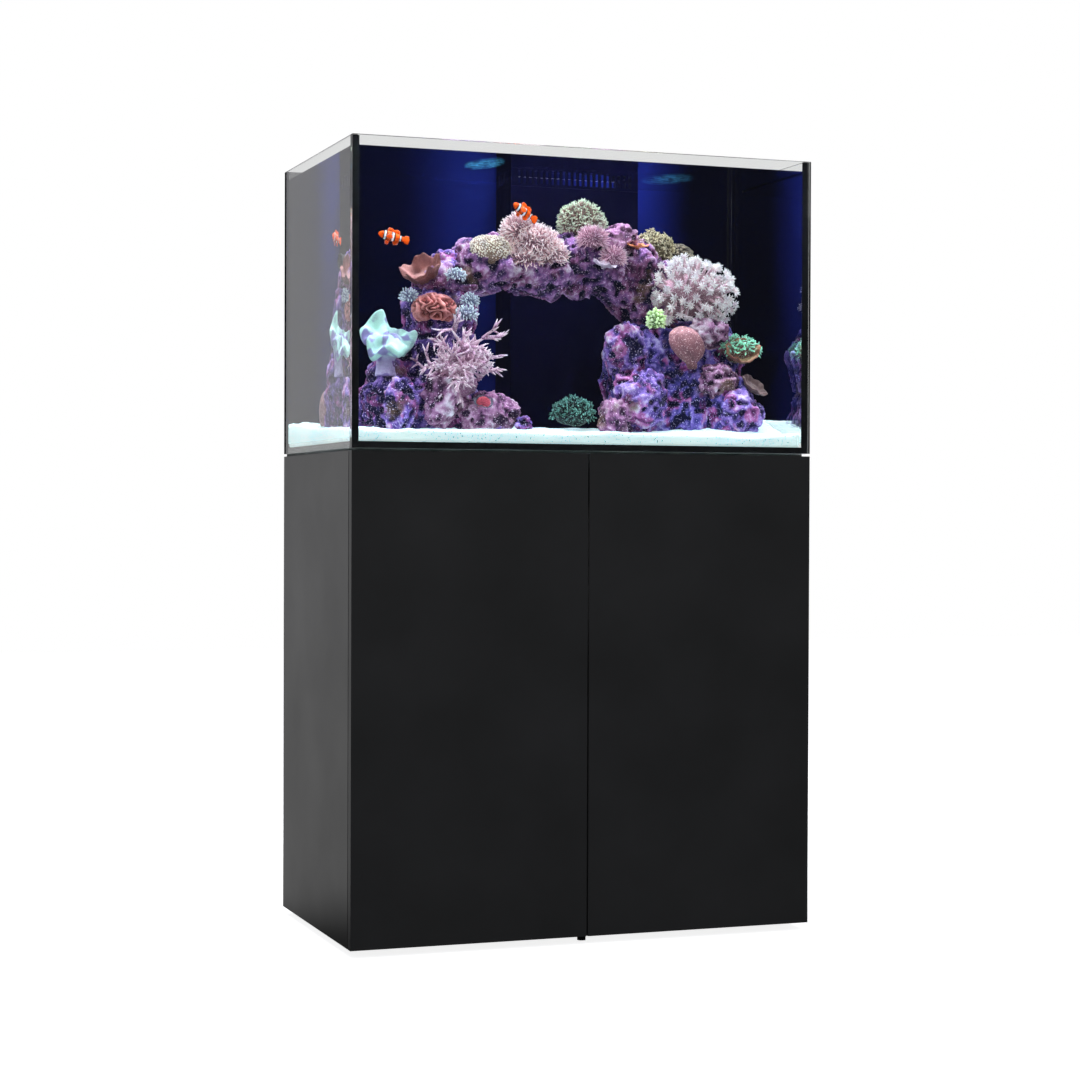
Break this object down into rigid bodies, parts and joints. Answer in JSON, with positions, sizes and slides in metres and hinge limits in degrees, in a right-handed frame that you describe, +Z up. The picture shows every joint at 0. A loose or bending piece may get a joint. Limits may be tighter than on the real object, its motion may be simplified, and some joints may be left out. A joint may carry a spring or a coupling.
{
  "type": "aquarium on stand",
  "caption": "Rimless glass reef tank with a rear overflow and a live-rock arch, standing on a black two-door cabinet that holds its filter sump.",
  "frame": {"origin": "on the floor, under the middle of the cabinet", "axes": "+X to the viewer's right, -Y towards the viewer who faces the doors, +Z up"},
  "size_m": [0.9, 0.5, 1.46],
  "materials": {
    "cabinet_board": "black satin laminate",
    "black_plastic": "satin",
    "grey_plastic": "satin",
    "hinge_steel": "nickel plated",
    "mat_foam": "matt",
    "clear_glass": "polished, clear",
    "back_painted_glass": "gloss, painted blue-black",
    "silicone": "satin",
    "red_plastic": "gloss",
    "clear_acrylic": "clear",
    "felt": "felt",
    "sand": "loose white grains",
    "live_rock": "rough, crusted purple",
    "leather_coral_flesh": "soft, matt",
    "anemone_flesh": "soft, matt",
    "bush_coral_flesh": "soft, matt",
    "fish_skin": "wet, banded orange and white"
  },
  "bodies": {
    "cabinet_and_tank": {"side_panel_left": "cabinet_board", "side_panel_right": "cabinet_board", "base_panel": "cabinet_board", "top_panel": "cabinet_board", "back_panel": "cabinet_board", "front_rail": "cabinet_board", "left_latch_housing": "black_plastic", "right_latch_housing": "black_plastic", "weir_box": "black_plastic", "return_pump": "black_plastic", "drain_bulkhead": "grey_plastic", "return_bulkhead": "grey_plastic", "drain_standpipe": "grey_plastic", "return_riser": "grey_plastic", "drain_pipe_upper": "grey_plastic", "gate_valve_body": "grey_plastic", "drain_pipe_lower": "grey_plastic", "return_pipe": "grey_plastic", "left_lower_hinge_arm": "hinge_steel", "left_upper_hinge_arm": "hinge_steel", "right_lower_hinge_arm": "hinge_steel", "right_upper_hinge_arm": "hinge_steel", "foam_mat": "mat_foam", "tank_bottom_glass": "clear_glass", "tank_front_glass": "clear_glass", "tank_left_glass": "clear_glass", "tank_right_glass": "clear_glass", "sump_tank": "clear_glass", "sump_baffle": "clear_glass", "tank_rear_glass": "back_painted_glass", "seam_silicone": "silicone", "sock_shelf": "clear_acrylic", "skimmer_body": "clear_acrylic", "sand_bed": "sand", "rock_left": "live_rock", "rock_bridge": "live_rock", "rock_right": "live_rock", "leather_coral": "leather_coral_flesh", "anemone": "anemone_flesh", "bush_coral": "bush_coral_flesh", "clownfish_left": "fish_skin", "clownfish_right": "fish_skin"},
    "left_door": {"left_door": "cabinet_board", "left_lower_hinge_cup": "hinge_steel", "left_upper_hinge_cup": "hinge_steel"},
    "right_door": {"right_door": "cabinet_board", "right_lower_hinge_cup": "hinge_steel", "right_upper_hinge_cup": "hinge_steel"},
    "left_latch_plunger": {"left_latch_plunger": "grey_plastic"},
    "right_latch_plunger": {"right_latch_plunger": "grey_plastic"},
    "foot_front_left": {"foot_front_left": "black_plastic"},
    "foot_front_right": {"foot_front_right": "black_plastic"},
    "foot_rear_left": {"foot_rear_left": "black_plastic"},
    "foot_rear_right": {"foot_rear_right": "black_plastic"},
    "foot_front_centre": {"foot_front_centre": "black_plastic"},
    "weir_comb": {"weir_comb": "black_plastic"},
    "return_nozzle": {"return_nozzle": "black_plastic"},
    "valve_handwheel": {"valve_handwheel": "red_plastic"},
    "filter_sock": {"filter_sock": "felt"},
    "skimmer_cup": {"skimmer_cup": "clear_acrylic"}
  },
  "joints": [
    {"name": "left_door_hinge", "type": "hinge", "parent": "cabinet_and_tank", "child": "left_door", "pos_m": [-0.45, -0.25, 0.4575], "axis": [0, 0, -1], "range_deg": [0, 110]},
    {"name": "right_door_hinge", "type": "hinge", "parent": "cabinet_and_tank", "child": "right_door", "pos_m": [0.45, -0.25, 0.4575], "axis": [0, 0, 1], "range_deg": [0, 110]},
    {"name": "left_latch_press", "type": "slide", "parent": "cabinet_and_tank", "child": "left_latch_plunger", "axis": [0, 1, 0], "range_m": [0, 0.0025], "stiffness_N_per_m": 1500, "springref_m": -0.002},
    {"name": "right_latch_press", "type": "slide", "parent": "cabinet_and_tank", "child": "right_latch_plunger", "axis": [0, 1, 0], "range_m": [0, 0.0025], "stiffness_N_per_m": 1500, "springref_m": -0.002},
    {"name": "foot_front_left_turn", "type": "hinge", "parent": "cabinet_and_tank", "child": "foot_front_left", "pos_m": [-0.39, -0.14, 0.007], "axis": [0, 0, 1], "continuous": true},
    {"name": "foot_front_right_turn", "type": "hinge", "parent": "cabinet_and_tank", "child": "foot_front_right", "pos_m": [0.39, -0.14, 0.007], "axis": [0, 0, 1], "continuous": true},
    {"name": "foot_rear_left_turn", "type": "hinge", "parent": "cabinet_and_tank", "child": "foot_rear_left", "pos_m": [-0.39, 0.19, 0.007], "axis": [0, 0, 1], "continuous": true},
    {"name": "foot_rear_right_turn", "type": "hinge", "parent": "cabinet_and_tank", "child": "foot_rear_right", "pos_m": [0.39, 0.19, 0.007], "axis": [0, 0, 1], "continuous": true},
    {"name": "foot_front_centre_turn", "type": "hinge", "parent": "cabinet_and_tank", "child": "foot_front_centre", "pos_m": [0.005, -0.207, 0.007], "axis": [0, 0, 1], "continuous": true},
    {"name": "weir_comb_lift", "type": "slide", "parent": "cabinet_and_tank", "child": "weir_comb", "axis": [0, 0, 1], "range_m": [0, 0.06]},
    {"name": "return_nozzle_swivel", "type": "hinge", "parent": "cabinet_and_tank", "child": "return_nozzle", "pos_m": [-0.072, 0.178, 1.282], "axis": [0, 0, 1], "range_deg": [-30, 30]},
    {"name": "valve_handwheel_turn", "type": "hinge", "parent": "cabinet_and_tank", "child": "valve_handwheel", "pos_m": [0.132, 0.116, 0.676], "axis": [0, 1, 0], "range_deg": [0, 1440]},
    {"name": "filter_sock_lift", "type": "slide", "parent": "cabinet_and_tank", "child": "filter_sock", "axis": [0, 0, 1], "range_m": [0, 0.12]},
    {"name": "skimmer_cup_lift", "type": "slide", "parent": "cabinet_and_tank", "child": "skimmer_cup", "axis": [0, 0, 1], "range_m": [0, 0.1]}
  ]
}
